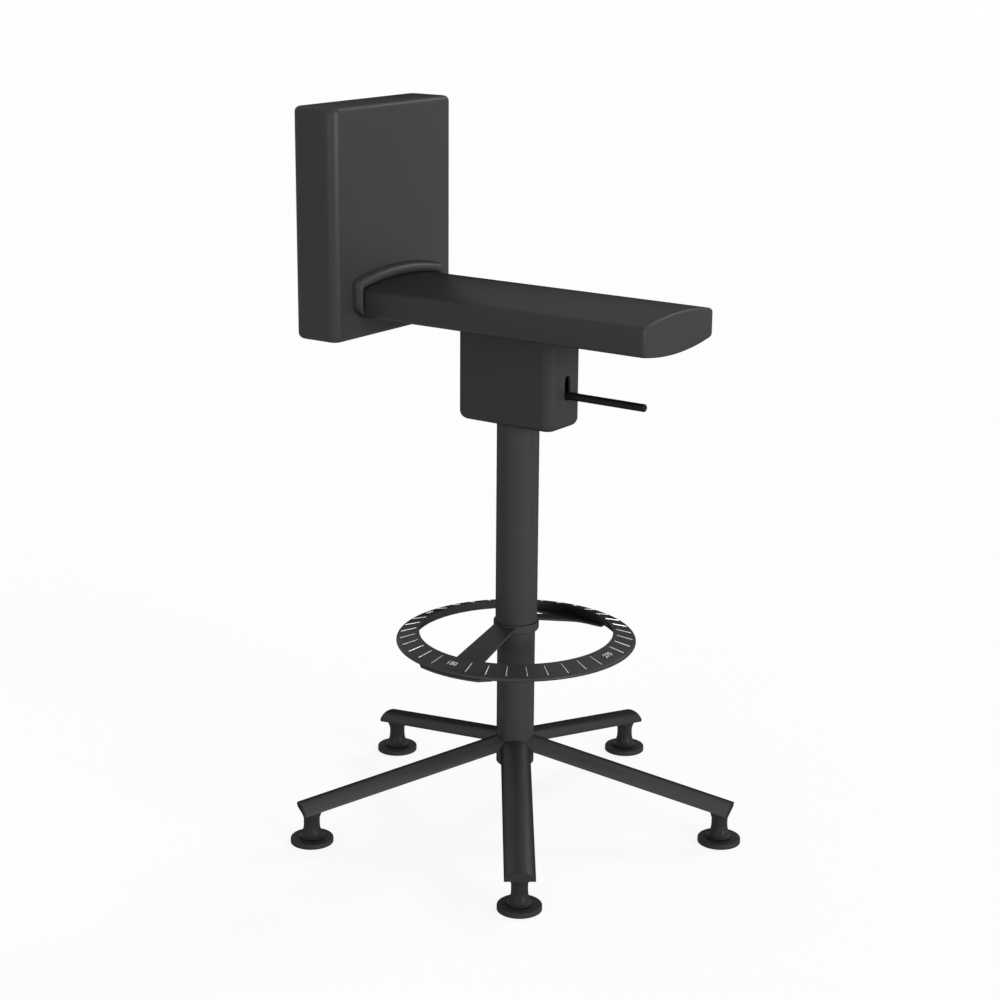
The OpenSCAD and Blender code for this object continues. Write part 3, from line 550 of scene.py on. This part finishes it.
class Bench:
    """Holds one mesh and models it in edit mode with Blender's operators."""

    def __init__(self, name: str) -> None:
        """Keeps the name of the piece to be made."""
        self.name = name
        self.object: bpy.types.Object | None = None

    def block(self, low: Point, high: Point) -> Bench:
        """Starts from a box.

        Args:
            low: Its lowest corner.
            high: Its highest corner.

        Returns:
            This bench.
        """
        bpy.ops.object.select_all(action="DESELECT")
        middle = [(a + b) / 2 for a, b in zip(low, high)]
        size = [b - a for a, b in zip(low, high)]
        bpy.ops.mesh.primitive_cube_add(size=1.0, location=middle, scale=size)
        return self.take()

    def line(self, points: Sequence[Point]) -> Bench:
        """Starts from a line drawn from point to point.

        Args:
            points: The line's points in order.

        Returns:
            This bench.
        """
        bpy.ops.object.select_all(action="DESELECT")
        bpy.ops.mesh.primitive_plane_add(size=SEED_SIZE, location=points[0])
        self.take()
        bpy.ops.mesh.merge(type="CENTER")
        for last, point in zip(points, points[1:]):
            step = [b - a for a, b in zip(last, point)]
            bpy.ops.mesh.extrude_vertices_move(TRANSFORM_OT_translate={"value": step})
        return self

    def take(self) -> Bench:
        """Names the new primitive, moves its place into its mesh and opens edit mode.

        Returns:
            This bench.
        """
        self.object = bpy.context.object
        self.object.name = self.object.data.name = self.name
        bpy.ops.object.transform_apply(location=True, rotation=True, scale=True)
        bpy.ops.object.mode_set(mode="EDIT")
        return self.all()

    def mesh(self) -> bmesh.types.BMesh:
        """The mesh in edit mode."""
        return bmesh.from_edit_mesh(self.object.data)

    def mode(self, kind: str) -> bmesh.types.BMesh:
        """Chooses between vertices and edges and returns the mesh."""
        bpy.ops.mesh.select_mode(type=kind)
        return self.mesh()

    def show(self, found: Iterable[Any]) -> Bench:
        """Selects some elements of the mesh and nothing else.

        Args:
            found: The vertices or edges to select.

        Returns:
            This bench.
        """
        chosen = list(found)
        bpy.ops.mesh.select_all(action="DESELECT")
        made = self.mesh()
        for element in chosen:
            element.select_set(True)
        made.select_flush_mode()
        bmesh.update_edit_mesh(self.object.data)
        return self

    def pick_vertices(self, test: Test) -> Bench:
        """Selects the vertices whose place passes the test."""
        return self.show(v for v in self.mode("VERT").verts if test(v.co))

    def pick_edges(self, test: Callable[[bmesh.types.BMEdge], bool]) -> Bench:
        """Selects the edges that pass the test."""
        return self.show(e for e in self.mode("EDGE").edges if test(e))

    def pick_sharp(self, test: Test | None = None) -> Bench:
        """Selects sharp edges.

        Args:
            test: Test that an edge's middle has to pass, if there is one.

        Returns:
            This bench.
        """
        limit = math.radians(SHARP_DEGREES)
        return self.pick_edges(
            lambda e: len(e.link_faces) == 2
            and e.calc_face_angle(0.0) > limit
            and (test is None or test((e.verts[0].co + e.verts[1].co) / 2))
        )

    def all(self) -> Bench:
        """Selects everything."""
        bpy.ops.mesh.select_mode(type="VERT")
        bpy.ops.mesh.select_all(action="SELECT")
        return self

    def slice(self, place: Point, normal: Point) -> Bench:
        """Cuts all faces along a plane.

        Args:
            place: A point of the plane.
            normal: The direction at right angles to it.

        Returns:
            This bench.
        """
        self.all()
        bpy.ops.mesh.bisect(
            plane_co=place, plane_no=normal, use_fill=False, clear_inner=False, clear_outer=False
        )
        return self

    def move(self, step: Point) -> Bench:
        """Moves what is selected."""
        bpy.ops.transform.translate(value=step)
        return self

    def scale(self, factors: Point, centre: Point) -> Bench:
        """Scales what is selected about a point."""
        bpy.ops.transform.resize(value=factors, center_override=centre)
        return self

    def pull_edges(self, step: Point) -> Bench:
        """Extrudes the selected edges by a step."""
        bpy.ops.mesh.extrude_edges_move(TRANSFORM_OT_translate={"value": step})
        return self

    def round(self, width: float, segments: int) -> Bench:
        """Rounds the selected edges."""
        bpy.ops.mesh.bevel(offset=width, segments=segments, affect="EDGES", clamp_overlap=True)
        return self

    def close(self) -> Bench:
        """Closes the open border with a face, merges doubles and turns all faces outwards.

        Returns:
            This bench.
        """
        self.pick_edges(lambda e: e.is_boundary)
        bpy.ops.mesh.fill_holes(sides=0)
        self.all()
        bpy.ops.mesh.remove_doubles(threshold=MERGE_DISTANCE)
        bpy.ops.mesh.normals_make_consistent(inside=False)
        return self

    def done(self, angle: float) -> bpy.types.Object:
        """Leaves edit mode, shades the piece smooth and returns it.

        Args:
            angle: Edges that are sharper than this many degrees stay sharp.

        Returns:
            The finished object.
        """
        bpy.ops.object.mode_set(mode="OBJECT")
        bpy.ops.object.select_all(action="DESELECT")
        self.object.select_set(True)
        bpy.context.view_layer.objects.active = self.object
        bpy.ops.object.shade_smooth_by_angle(angle=math.radians(angle))
        return self.object


def arc(centre: Flat, radius: float, start: float, end: float, steps: int) -> list[Flat]:
    """Points of an arc in a plane.

    Args:
        centre: The arc's middle.
        radius: Its radius.
        start: Angle of its first point, in degrees.
        end: Angle of its last point, in degrees.
        steps: Number of steps between them.

    Returns:
        The points, both ends included.
    """
    turns = [math.radians(start + (end - start) * i / steps) for i in range(steps + 1)]
    return [(centre[0] + radius * math.cos(t), centre[1] + radius * math.sin(t)) for t in turns]


def join(pieces: Sequence[bpy.types.Object], name: str) -> bpy.types.Object:
    """Joins several objects into one.

    Args:
        pieces: The objects, of which the first takes in the others.
        name: The joined object's name.

    Returns:
        The joined object.
    """
    bpy.ops.object.select_all(action="DESELECT")
    for piece in pieces:
        piece.select_set(True)
    bpy.context.view_layer.objects.active = pieces[0]
    bpy.ops.object.join()
    pieces[0].name = pieces[0].data.name = name
    return pieces[0]


def turned_copy(piece: bpy.types.Object, angle: float) -> bpy.types.Object:
    """Copies a piece with its mesh and turns the copy about the column's axis.

    Args:
        piece: The piece.
        angle: The turn in degrees.

    Returns:
        The copy.
    """
    made = piece.copy()
    made.data = piece.data.copy()
    made.data.transform(Matrix.Rotation(math.radians(angle), 4, "Z"))
    bpy.context.scene.collection.objects.link(made)
    return made


# The studio


@dataclass(frozen=True)
class Lamp:
    """One large, soft lamp far away.

    Its angle round the chair counts from -Y towards -X and its height from the floor up, both
    in degrees, as is its apparent size.
    """

    name: str
    strength: float
    round_angle: float
    height: float
    spread: float

    def towards(self) -> Vector:
        """Works out where the lamp stands.

        Returns:
            The direction from the chair to the lamp.
        """
        turn, rise = math.radians(self.round_angle), math.radians(self.height)
        level = math.cos(rise)
        return Vector((-math.sin(turn) * level, -math.cos(turn) * level, math.sin(rise)))


@dataclass
class Studio:
    """Camera, lights and floor.

    The camera stands where the photograph was taken from, its angles are in degrees, and its
    lens and sensor are in millimetres. Rays that carry light meet the ambient light and the
    floor's tone. Rays that show things meet the backdrop, and a floor that reflects its shown
    tone and glows, so that it is white but for the chair's shadow.
    """

    camera_place: Point = (-2.1829, -1.5002, 1.1927)
    camera_turn: float = -55.011
    camera_pitch: float = 15.848
    camera_roll: float = 0.447
    camera_clip: Span = (0.1, 100.0)
    lens: float = 76.41
    sensor: float = 36.0
    ambient: float = 0.22
    backdrop: float = 1.0
    lamps: tuple[Lamp, ...] = (
        Lamp("key_light", 2.25, 8.0, 4.0, 30.0),
        Lamp("side_light", 0.55, 84.0, 4.0, 30.0),
        Lamp("rim_light", 0.55, -80.0, 34.0, 16.0),
        Lamp("rear_light", 0.40, -152.0, 6.0, 30.0),
    )
    floor_size: float = 40.0
    floor_drop: float = 0.0004
    floor_tone: float = 0.50
    floor_shown: float = 0.30
    floor_glow: float = 0.86

    def build(self) -> None:
        """Makes the camera, the lights, the world and the floor."""
        self.make_camera()
        self.make_world()
        for lamp in self.lamps:
            self.make_lamp(lamp)
        self.make_floor()
        LOG.info("studio built")

    def make_camera(self) -> None:
        """Makes the camera at the photograph's place, with its pitch and roll."""
        pitch, roll = math.radians(self.camera_pitch), math.radians(self.camera_roll)
        forward = Vector((0, math.cos(pitch), -math.sin(pitch)))
        right, up = Vector((1, 0, 0)), Vector((0, math.sin(pitch), math.cos(pitch)))
        rolled_right = right * math.cos(roll) + up * math.sin(roll)
        rolled_up = up * math.cos(roll) - right * math.sin(roll)
        turn = Matrix.Rotation(math.radians(self.camera_turn), 3, "Z")
        axes = Matrix([turn @ rolled_right, turn @ rolled_up, turn @ -forward]).transposed()
        data = bpy.data.cameras.new("camera")
        data.lens, data.sensor_width = self.lens, self.sensor
        data.clip_start, data.clip_end = self.camera_clip
        camera = bpy.data.objects.new("camera", data)
        camera.matrix_world = Matrix.Translation(self.camera_place) @ axes.to_4x4()
        bpy.context.scene.collection.objects.link(camera)
        bpy.context.scene.camera = camera

    def make_lamp(self, lamp: Lamp) -> None:
        """Makes one lamp.

        Args:
            lamp: What it is like.
        """
        data = bpy.data.lights.new(lamp.name, "SUN")
        data.energy, data.angle = lamp.strength, math.radians(lamp.spread)
        made = bpy.data.objects.new(lamp.name, data)
        made.rotation_mode = "QUATERNION"
        made.rotation_quaternion = lamp.towards().to_track_quat("Z", "Y")
        bpy.context.scene.collection.objects.link(made)

    def make_world(self) -> None:
        """Makes an even light all round that looks white in the view and in reflections."""
        world = bpy.data.worlds.new("studio")
        bpy.context.scene.world = world
        shader = Shader(world)
        glows = [
            shader.node("ShaderNodeBackground", Color=WHITE, Strength=strength).outputs[0]
            for strength in (self.ambient, self.backdrop)
        ]
        light = shader.node("ShaderNodeMixShader", None, shader.seen(), *glows)
        shader.node("ShaderNodeOutputWorld", Surface=light.outputs[0])

    def make_floor(self) -> None:
        """Makes the white floor, which keeps the chair's soft shadow and is clear from below."""
        bpy.ops.object.select_all(action="DESELECT")
        bpy.ops.mesh.primitive_plane_add(
            size=self.floor_size, location=(0, 0, -self.floor_drop)
        )
        floor = bpy.context.object
        floor.name = floor.data.name = "floor"
        material = bpy.data.materials.new("floor_white")
        shader = Shader(material)
        plain, shown = (
            shader.node("ShaderNodeBsdfDiffuse", Color=(tone,) * 3).outputs[0]
            for tone in (self.floor_tone, self.floor_shown)
        )
        glow = shader.node("ShaderNodeEmission", Color=WHITE, Strength=self.floor_glow)
        lit = shader.node("ShaderNodeAddShader", None, shown, glow.outputs[0])
        above = shader.node("ShaderNodeMixShader", None, shader.seen(), plain, lit.outputs[0])
        below = shader.node("ShaderNodeNewGeometry").outputs["Backfacing"]
        clear = shader.node("ShaderNodeBsdfTransparent").outputs[0]
        whole = shader.node("ShaderNodeMixShader", None, below, above.outputs[0], clear)
        shader.node("ShaderNodeOutputMaterial", Surface=whole.outputs[0])
        floor.data.materials.append(material)


# The chair


@dataclass
class SubAssembly:
    """Shared work of the chair's sub-assemblies."""

    frame: dict[str, Any]
    wardrobe: Wardrobe
    finishes: Finishes

    def smooth(self, node: str, angle: float = 28.0) -> None:
        """Shades a CAD node smooth but for its sharp edges.

        Args:
            node: The CAD node's name.
            angle: Edges that are sharper than this many degrees stay sharp.
        """
        obj = self.frame["nodes"][node]
        obj.data.polygons.foreach_set("use_smooth", [True] * len(obj.data.polygons))
        weld = obj.modifiers.new("weld", "WELD")
        weld.merge_threshold = MERGE_DISTANCE
        split = obj.modifiers.new("sharp_edges", "EDGE_SPLIT")
        split.split_angle = math.radians(angle)

    def dress_nodes(self, finish: Finish, *nodes: str) -> None:
        """Dresses CAD nodes with one finish.

        Args:
            finish: The finish.
            nodes: The CAD nodes' names.
        """
        for node in nodes:
            self.smooth(node)
            self.wardrobe.dress(self.frame["nodes"][node], finish)
            LOG.info("%s dressed with %s", node, finish.name)

    def fit(
        self, piece: bpy.types.Object, finish: Finish, slot: Slot, body: Body, *nodes: str
    ) -> None:
        """Dresses a new piece and ties it to its body and to the CAD nodes it stands for.

        Args:
            piece: The new piece.
            finish: The finish.
            slot: The record's material slot; not used.
            body: The CAD body on which it rides.
            nodes: The CAD nodes for which it stands.
        """
        self.wardrobe.dress(piece, finish)
        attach(piece, body.value)
        if nodes:
            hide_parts(*nodes)
        LOG.info("%s made, %d faces", piece.name, len(piece.data.polygons))


@dataclass
class Pads(SubAssembly):
    """The seat and the backrest, foam with a smooth skin.

    The collar is a roll that stands out of the backrest's face by its depth. Its section
    begins beside the seat, collar_start degrees up a half ellipse, and it is wider and taller
    than the seat's section by its side and its top. Each taper is a height above the collar's
    lower end and the share of its thickness that is kept there.
    """

    crown: float = 0.420
    belly: float = 0.410
    seat_edge: float = 0.0052
    seat_strips: int = 16
    back_depth: float = 0.0706
    back_corner: float = 0.0142
    back_corner_steps: int = 8
    back_top_edge: float = 0.0072
    back_lower_edge: float = 0.0080
    edge_steps: int = 5
    collar_depth: float = 0.0130
    collar_side: float = 0.0090
    collar_top: float = 0.0145
    collar_start: float = 40.0
    collar_steps: int = 12
    collar_foot: float = 0.004
    collar_root: float = 0.004
    line_steps: int = 8
    tapers: tuple[Span, ...] = ((0.0, 0.15), (0.0045, 0.72), (0.009, 0.93))
    taper_reach: float = 0.0022
    gap: float = 0.0004
    pad_smooth: float = 30.0
    collar_smooth: float = 50.0

    def build(self) -> None:
        """Models and dresses both pads."""
        seat = self.make_seat()
        self.fit(seat, self.finishes.cover, Slot.COVER, Body.SEAT_UNIT, "seat_pad")
        back = self.make_backrest()
        self.fit(back, self.finishes.cover, Slot.COVER, Body.SEAT_UNIT, "backrest_pad")

    def drop(self, x: float, radius: float) -> float:
        """Drop of a crown of the given radius at a distance x from its middle."""
        return radius - math.sqrt(radius * radius - x * x)

    def make_seat(self) -> bpy.types.Object:
        """Models the seat: a long block with a crowned top and underside and soft edges.

        Returns:
            The seat.
        """
        low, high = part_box("seat_pad")
        half, middle = high.x, (low.z + high.z) / 2
        bench = Bench("seat_cover").block(tuple(low), tuple(high))
        places = [half * (2 * i / self.seat_strips - 1) for i in range(self.seat_strips + 1)]
        for x in places[1:-1]:
            bench.slice((x, 0, 0), (1, 0, 0))
        for x in places:
            bench.pick_vertices(lambda v: near(v.x, x) and v.z > middle)
            bench.move((0, 0, -self.drop(x, self.crown)))
            bench.pick_vertices(lambda v: near(v.x, x) and v.z < middle)
            bench.move((0, 0, self.drop(x, self.belly)))
        bench.pick_sharp().round(self.seat_edge, self.edge_steps)
        return bench.done(self.pad_smooth)

    def make_backrest(self) -> bpy.types.Object:
        """Models the backrest: an upright block with soft edges and its collar.

        Returns:
            The backrest.
        """
        low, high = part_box("backrest_pad")
        face, middle = high.y - self.back_depth, (low.z + high.z) / 2
        bench = Bench("backrest_cover").block((low.x, face, low.z), tuple(high))
        bench.pick_sharp(lambda v: near(v.z, middle))
        bench.round(self.back_corner, self.back_corner_steps)
        bench.pick_sharp(lambda v: near(v.z, high.z))
        bench.round(self.back_top_edge, self.edge_steps)
        bench.pick_sharp(lambda v: near(v.z, low.z))
        bench.round(self.back_lower_edge, self.edge_steps)
        block = bench.done(self.pad_smooth)
        return join([block, self.make_collar(face)], "backrest_cover")

    def seat_line(self, y: float) -> list[Point]:
        """Line round the seat's section, from its lower left over its top to its lower right.

        Args:
            y: Place of the line along Y.

        Returns:
            The line's points.
        """
        low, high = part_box("seat_pad")
        half, edge, steps = high.x + self.gap, self.seat_edge, self.line_steps
        foot = low.z + self.drop(high.x, self.belly) + self.collar_foot
        flat = half - edge
        shoulder = high.z - self.drop(flat, self.crown) + self.gap
        side = [(half, foot + (shoulder - edge - foot) * k / steps) for k in range(steps)]
        corner = arc((flat, shoulder - edge), edge, 0.0, 90.0, self.edge_steps)
        reaches = [flat * k / steps for k in reversed(range(steps))]
        top = [(x, high.z - self.drop(x, self.crown) + self.gap) for x in reaches]
        right = side + corner + top
        left = [(-x, z) for x, z in right[:-1]]
        return [(x, y, z) for x, z in left + right[::-1]]

    def collar_section(self, face: float) -> list[Span]:
        """Section of the collar's roll, from the seat outwards.

        Args:
            face: Place of the backrest's front face along Y.

        Returns:
            Its points, each a share of the roll's thickness and a place along Y.
        """
        start = math.radians(self.collar_start)
        points = []
        for k in range(self.collar_steps + 1):
            turn = start + (math.pi - start) * k / self.collar_steps
            share = (math.cos(start) - math.cos(turn)) / (math.cos(start) + 1)
            points.append((share, face - self.collar_depth * math.sin(turn)))
        return [*points, (1.0, face + self.collar_root)]

    def make_collar(self, face: float) -> bpy.types.Object:
        """Models the collar, a roll on the backrest's face that grips the seat's end.

        Args:
            face: Place of the backrest's front face along Y.

        Returns:
            The collar.
        """
        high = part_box("seat_pad")[1]
        y = face + self.collar_root
        line = self.seat_line(y)
        base, half = line[0][2], high.x + self.gap
        height = high.z + self.gap - base
        wide, tall = half, height
        bench = Bench("collar").line(line).all()
        for share, next_y in self.collar_section(face):
            next_wide = half + self.collar_side * share
            next_tall = height + self.collar_top * share
            bench.pull_edges((0, next_y - y, 0))
            bench.scale((next_wide / wide, 1, next_tall / tall), (0, next_y, base))
            y, wide, tall = next_y, next_wide, next_tall
        for rise, kept in self.tapers:
            for side in (-1, 1):
                bench.pick_vertices(
                    lambda v: v.x * side > half + SAME_PLACE
                    and abs(v.z - base - rise) < self.taper_reach
                )
                bench.scale((kept, 1, 1), (side * half, 0, 0))
        return bench.close().done(self.collar_smooth)


@dataclass
class ColumnUnit(SubAssembly):
    """The lower column, the gas spring and the sleeve."""

    def build(self) -> None:
        """Dresses the CAD nodes."""
        self.dress_nodes(self.finishes.column, "lower_column", "upper_sleeve")
        self.dress_nodes(self.finishes.plug, "column_end_plug", "guide_bush", "piston")
        self.dress_nodes(
            self.finishes.zinc, "bearing_plate", "thrust_bearing", "rod_clip", "taper_socket"
        )
        self.dress_nodes(self.finishes.rod, "piston_rod", "release_pin")
        self.dress_nodes(self.finishes.spring, "pressure_tube")
        self.dress_nodes(self.finishes.rubber, "rod_seal")


@dataclass
class LegStar(SubAssembly):
    """The five legs with their plugs and glides."""

    count: int = 5

    def build(self) -> None:
        """Dresses the CAD nodes."""
        for number in range(1, self.count + 1):
            self.dress_nodes(self.finishes.leg, f"leg_{number}")
            self.dress_nodes(self.finishes.cap, f"leg_plug_{number}")
            self.dress_nodes(
                self.finishes.glide, f"glide_socket_{number}", f"glide_bell_{number}"
            )
            self.dress_nodes(self.finishes.sole, f"glide_sole_{number}")


@dataclass
class FootRing(SubAssembly):
    """The foot ring with its ribs, its numbers, its hub and its arms.

    The ring's upper face falls by its drop from its inner to its outer radius. Ribs stand
    every rib_step degrees, and numbers at the degrees that they name.
    """

    inner: float = 0.1277
    drop: float = 0.0082
    width: float = 0.0305
    rib_step: int = 10
    rib_inner: float = 0.1325
    rib_outer: float = 0.1535
    rib_inner_half: float = 0.0004
    rib_outer_half: float = 0.0007
    rib_rise: float = 0.0005
    rib_sink: float = 0.0008
    rib_edge: float = 0.0003
    rib_edge_steps: int = 3
    rib_end: float = 0.001
    rib_end_drop: float = 0.0002
    rib_smooth: float = 40.0
    numbers: tuple[int, ...] = (0, 90, 180, 270)
    number_height: float = 0.0105
    number_depth: float = 0.0005
    number_bevel: float = 0.0001
    number_rise: float = 0.0002

    def build(self) -> None:
        """Models the ribs and the numbers and dresses the rest."""
        self.dress_nodes(
            self.finishes.ring, "foot_ring", "ring_hub", "ring_arm_left", "ring_arm_right"
        )
        self.dress_nodes(self.finishes.screw, "ring_screws", "ring_set_screws")
        self.fit(self.make_ribs(), self.finishes.rib, Slot.RIB, Body.BASE, "ring_ribs")
        self.fit(self.make_numbers(), self.finishes.rib, Slot.RIB, Body.BASE)

    def on_face(self, radius: float, rise: float = 0.0) -> Matrix:
        """Move that lays a shape at the origin on the ring's sloping upper face.

        Args:
            radius: The shape's distance from the column's axis.
            rise: How far it is lifted off the face.

        Returns:
            The move.
        """
        slope = self.drop / self.width
        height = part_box("foot_ring")[1].z - (radius - self.inner) * slope
        lift = Matrix.Translation((radius, 0, height + rise))
        return lift @ Matrix.Rotation(math.atan(slope), 4, "Y")

    def make_ribs(self) -> bpy.types.Object:
        """Models one rounded rib and copies it round the ring, but not under the numbers.

        Returns:
            The ribs.
        """
        inner, outer, half = self.rib_inner, self.rib_outer, self.rib_outer_half
        bench = Bench("rib").block((inner, -half, -self.rib_sink), (outer, half, self.rib_rise))
        bench.pick_vertices(lambda v: near(v.x, inner))
        bench.scale((1, self.rib_inner_half / half, 1), (inner, 0, 0))
        bench.pick_sharp(lambda v: near(v.z, self.rib_rise))
        bench.round(self.rib_edge, self.rib_edge_steps)
        for x in (inner + self.rib_end, outer - self.rib_end):
            bench.slice((x, 0, 0), (1, 0, 0))
        bench.pick_vertices(lambda v: v.x < inner + self.rib_end / 2 and v.z > 0)
        bench.move((0, 0, -self.rib_end_drop))
        rib = bench.done(self.rib_smooth)
        middle = (inner + outer) / 2
        rib.data.transform(self.on_face(middle) @ Matrix.Translation((-middle, 0, 0)))
        turns = [turn for turn in range(0, 360, self.rib_step) if turn not in self.numbers]
        ribs = [turned_copy(rib, turn) for turn in turns]
        bpy.data.objects.remove(rib)
        return join(ribs, "ring_ribs_bright")

    def make_numbers(self) -> bpy.types.Object:
        """Models the raised numbers of the scale, which are read from outside the ring.

        Returns:
            The numbers.
        """
        made = []
        middle = (self.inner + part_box("foot_ring")[1].x) / 2
        for number in self.numbers:
            bpy.ops.object.select_all(action="DESELECT")
            bpy.ops.object.text_add(location=(0, 0, 0))
            label = bpy.context.object
            label.data.body = str(number)
            label.data.size = self.number_height
            label.data.align_x, label.data.align_y = "CENTER", "CENTER"
            label.data.extrude = self.number_depth
            label.data.bevel_depth = self.number_bevel
            bpy.ops.object.convert(target="MESH")
            label.data.transform(Matrix.Rotation(math.radians(90), 4, "Z"))
            label.data.transform(self.on_face(middle, self.number_rise))
            label.data.transform(Matrix.Rotation(math.radians(number), 4, "Z"))
            made.append(label)
        return join(made, "ring_numbers")


@dataclass
class Mechanism(SubAssembly):
    """The mechanism housing, the lever and the seat's frame."""

    def build(self) -> None:
        """Dresses the CAD nodes."""
        self.dress_nodes(self.finishes.housing, "mechanism_housing")
        self.dress_nodes(self.finishes.lever, "height_lever")
        self.dress_nodes(self.finishes.zinc, "lever_bracket", "lever_pin", "housing_screws")
        self.dress_nodes(self.finishes.screw, "bar_screws")
        self.dress_nodes(self.finishes.frame, "seat_plate", "flat_bar")


def main() -> None:
    """Builds the chair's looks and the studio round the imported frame."""
    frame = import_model()
    logging.basicConfig(level=logging.INFO, format="%(message)s")
    bpy.context.scene.view_settings.view_transform = "Standard"
    Studio().build()
    wardrobe, finishes = Wardrobe(), Finishes()
    for part in (Pads, ColumnUnit, LegStar, FootRing, Mechanism):
        part(frame, wardrobe, finishes).build()


if __name__ == "__main__":
    main()
